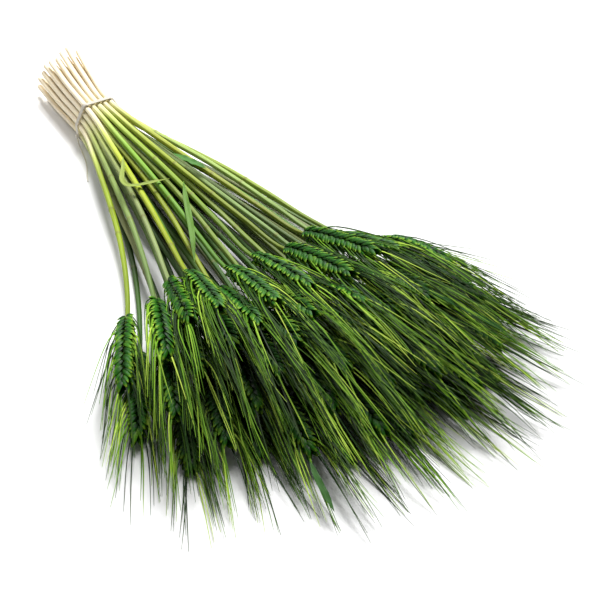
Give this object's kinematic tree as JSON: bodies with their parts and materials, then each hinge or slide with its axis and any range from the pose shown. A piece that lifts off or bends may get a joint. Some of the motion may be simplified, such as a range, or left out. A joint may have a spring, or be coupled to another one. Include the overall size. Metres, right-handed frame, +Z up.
{
  "type": "bundle of dried triticale",
  "caption": "Lying bunch of dried, green-dyed bearded triticale: long stalks with plump ears and long awns that fan out from one thread tie near the pale cut ends.",
  "frame": {"origin": "on the surface, under the middle of the bundle's outline", "axes": "+Z up; the ears point towards -Y and the cut butt ends towards +Y"},
  "size_m": [0.316, 0.5858, 0.0605],
  "materials": {
    "stalk": "matt to slightly glossy dyed straw, from cream at the cut ends to deep green at the ears",
    "leaf": "matt dyed dry leaf blade with fine ribs along it",
    "thread": "matt thin twisted thread, off-white"
  },
  "bodies": {
    "root": {"stalk_01": "stalk", "stalk_02": "stalk", "stalk_03": "stalk", "stalk_04": "stalk", "stalk_05": "stalk", "stalk_06": "stalk", "stalk_07": "stalk", "stalk_08": "stalk", "stalk_09": "stalk", "stalk_10": "stalk", "stalk_11": "stalk", "stalk_12": "stalk", "stalk_13": "stalk", "stalk_14": "stalk", "stalk_15": "stalk", "stalk_16": "stalk", "stalk_17": "stalk", "stalk_18": "stalk", "stalk_19": "stalk", "stalk_20": "stalk", "stalk_21": "stalk", "stalk_22": "stalk", "stalk_23": "stalk", "stalk_24": "stalk", "stalk_25": "stalk", "stalk_26": "stalk", "stalk_27": "stalk", "stalk_28": "stalk", "stalk_29": "stalk", "stalk_30": "stalk", "stalk_31": "stalk", "stalk_32": "stalk", "stalk_33": "stalk", "stalk_34": "stalk", "stalk_35": "stalk", "stalk_36": "stalk", "stalk_37": "stalk", "stalk_38": "stalk", "stalk_39": "stalk", "stalk_40": "stalk", "stalk_41": "stalk", "stalk_42": "stalk", "stalk_43": "stalk", "stalk_44": "stalk", "stalk_45": "stalk", "stalk_46": "stalk", "stalk_47": "stalk", "stalk_48": "stalk", "tie": "thread", "leaf_folded": "leaf", "leaf_long": "leaf", "leaf_short": "leaf", "leaf_flag": "leaf", "leaf_tapered": "leaf", "tie_end": "thread"}
  },
  "joints": []
}
